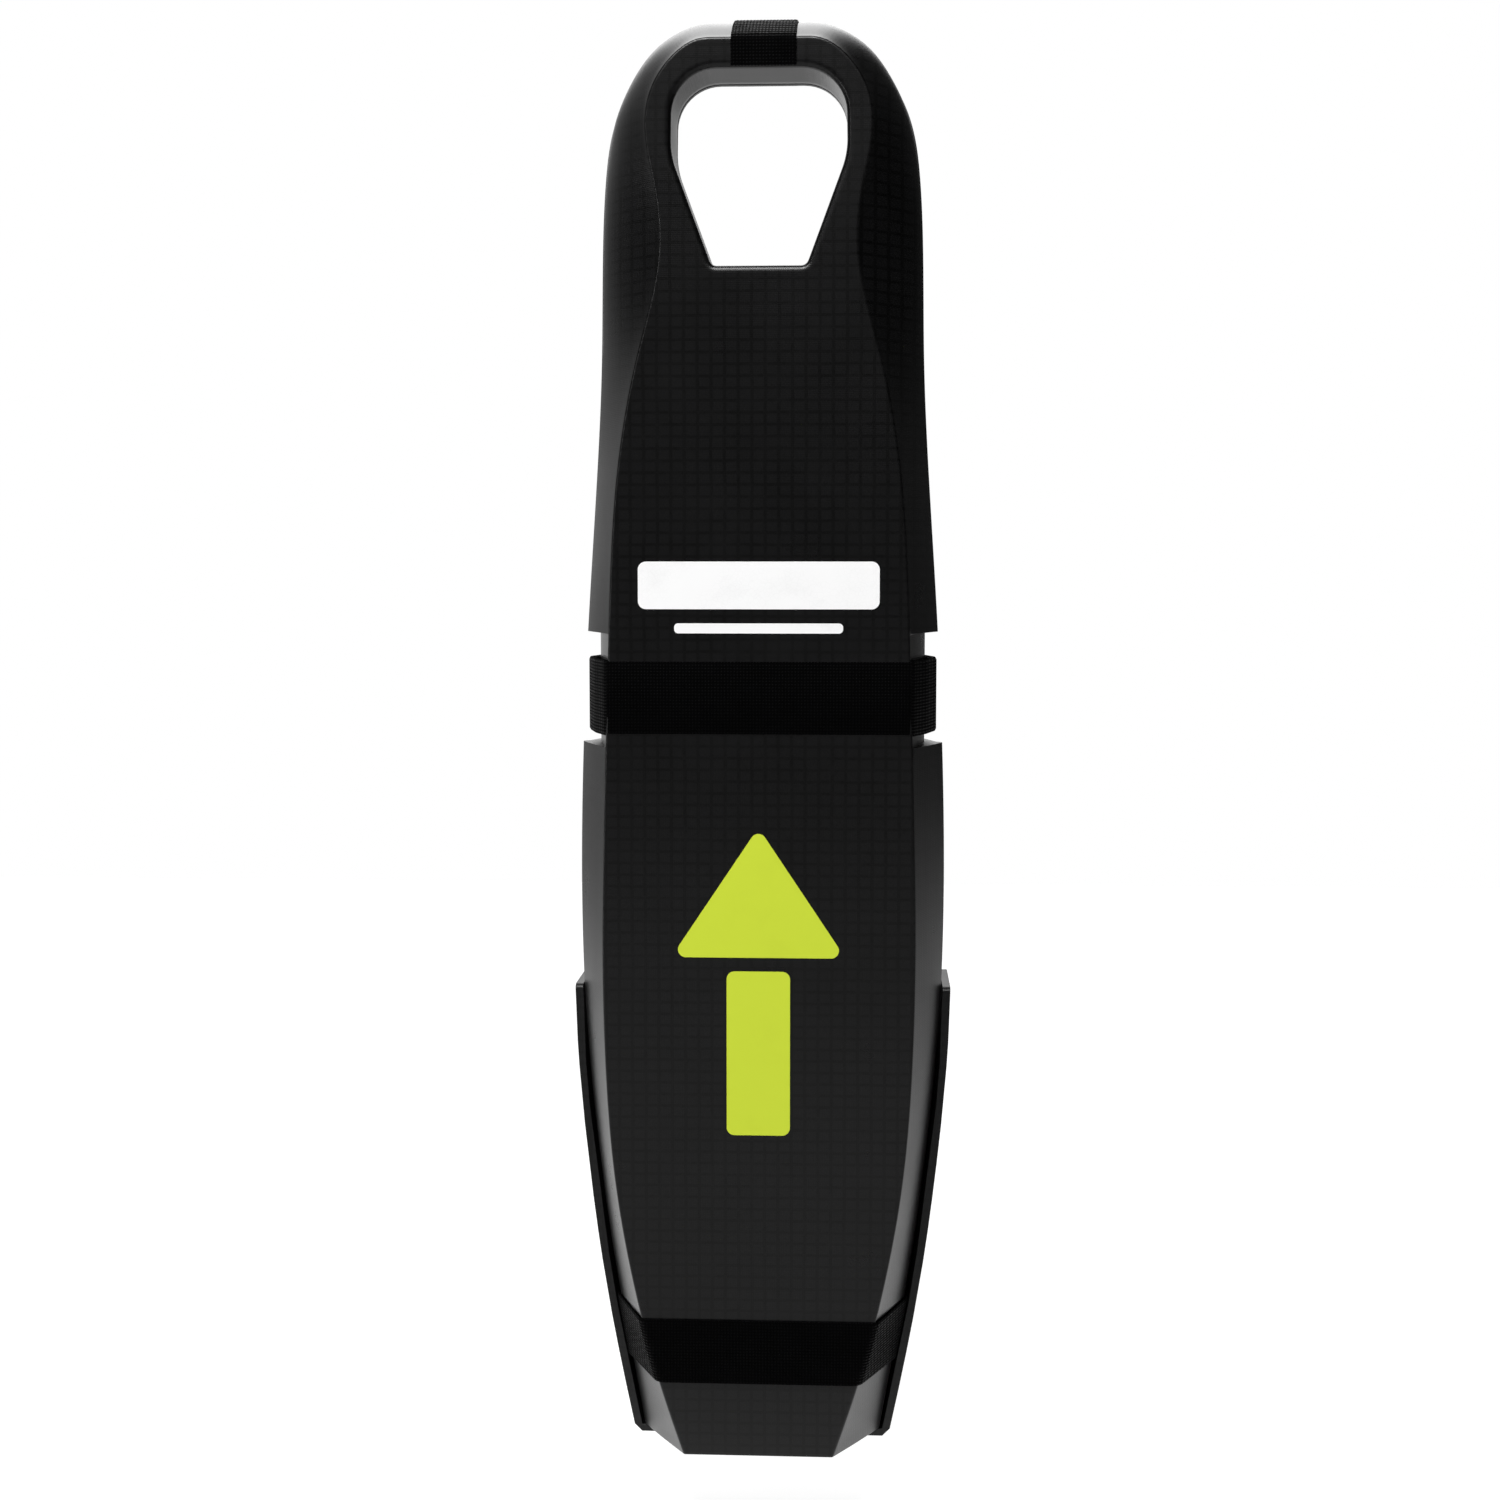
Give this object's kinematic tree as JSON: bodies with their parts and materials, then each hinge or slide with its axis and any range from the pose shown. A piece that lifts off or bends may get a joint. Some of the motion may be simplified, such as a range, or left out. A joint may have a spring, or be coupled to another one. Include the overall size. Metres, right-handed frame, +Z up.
{
  "type": "man-overboard danbuoy in rail holster",
  "caption": "Clamshell case with a grab handle, holding a packed inflatable danbuoy, in a clamp-on guard-rail holster.",
  "frame": {"origin": "centre of the lower rail clamp, on the axis of the guard rail it grips", "axes": "+Z up along the rail and the case, -Y out of the case's flat front face, +X to the right seen from the front"},
  "size_m": [0.1962, 0.1345, 0.7324],
  "materials": {
    "case_shell": "matte black moulding with a fine woven grain",
    "webbing": "black polyester webbing",
    "hook_and_loop": "black hook-and-loop tape",
    "white_reflective": "white retro-reflective film",
    "hi_vis_marking": "hi-vis yellow-green film",
    "bladder_fabric": "hi-vis yellow coated nylon",
    "flag_fabric": "fluorescent orange nylon",
    "drogue_fabric": "orange coated nylon",
    "coated_weight": "plastic-coated cast weight",
    "tether_webbing": "white tether webbing",
    "elastic": "black elastic",
    "plated_steel": "zinc-plated steel, satin",
    "inflator_plastic": "glass-filled nylon, semi-gloss",
    "cap_plastic": "yellow moulded plastic",
    "brass_fitting": "turned brass",
    "lever_plastic": "red moulded plastic",
    "tube_rubber": "black rubber tube",
    "light_plastic": "white moulded plastic",
    "clear_lens": "clear polycarbonate",
    "holster_plastic": "black moulded plastic, satin",
    "foam": "closed-cell foam",
    "clamp_plastic": "black glass-filled nylon",
    "liner_rubber": "soft rubber",
    "stainless": "A4 stainless steel"
  },
  "bodies": {
    "holster": {"holster_tray": "holster_plastic", "holster_pads": "foam", "clamp_saddle_lower": "clamp_plastic", "clamp_saddle_upper": "clamp_plastic", "clamp_cap_lower": "clamp_plastic", "clamp_cap_upper": "clamp_plastic", "clamp_liner_lower": "liner_rubber", "clamp_liner_upper": "liner_rubber", "clamp_bolts": "stainless", "clamp_washers": "stainless", "clamp_nuts": "stainless"},
    "case": {"rear_shell": "case_shell", "hinge_pin": "stainless", "handle_strap_rear": "webbing", "centre_belt_rear": "webbing", "centre_belt_patch": "hook_and_loop", "lower_belt_rear": "webbing", "folded_mast": "bladder_fabric", "folded_flag": "flag_fabric", "drogue_pack": "drogue_fabric", "ballast_weight": "coated_weight", "tether_hank": "tether_webbing", "pack_retainers": "elastic", "gas_cylinder": "plated_steel", "cylinder_band": "elastic", "inflator_body": "inflator_plastic", "inflator_cap": "cap_plastic", "inflator_stem": "brass_fitting", "stem_nut": "brass_fitting", "lever_pivot": "stainless", "oral_tube": "tube_rubber", "light_body": "light_plastic", "light_lens": "clear_lens", "light_bracket": "inflator_plastic"},
    "front_cover": {"front_shell": "case_shell", "handle_strap_front": "webbing", "centre_belt_front": "webbing", "lower_belt_front": "webbing", "reflective_label": "white_reflective", "reflective_stripe": "white_reflective", "lift_arrow": "hi_vis_marking"},
    "firing_lever": {"inflator_lever": "lever_plastic", "lever_knob": "lever_plastic"},
    "piercing_pin": {"piercing_pin": "stainless"},
    "oral_cap": {"oral_tube_cap": "cap_plastic"}
  },
  "joints": [
    {"name": "case_lift", "type": "slide", "parent": "holster", "child": "case", "axis": [0, 0, 1], "range_m": [0, 0.3]},
    {"name": "cover_hinge", "type": "hinge", "parent": "case", "child": "front_cover", "pos_m": [0, -0.0735, -0.05], "axis": [1, 0, 0], "range_deg": [0, 90]},
    {"name": "lever_pull", "type": "hinge", "parent": "case", "child": "firing_lever", "pos_m": [-0.0474, -0.0535, 0.273], "axis": [0, 1, 0], "range_deg": [0, 90]},
    {"name": "pin_drive", "type": "slide", "parent": "case", "child": "piercing_pin", "axis": [0, 0, -1], "range_m": [0, 0.004]},
    {"name": "oral_cap_pull", "type": "slide", "parent": "case", "child": "oral_cap", "axis": [0, 0, 1], "range_m": [0, 0.014]}
  ],
  "couplings": [
    {"joint": "pin_drive", "follows": "lever_pull", "m_per_rad": 0.002546}
  ]
}
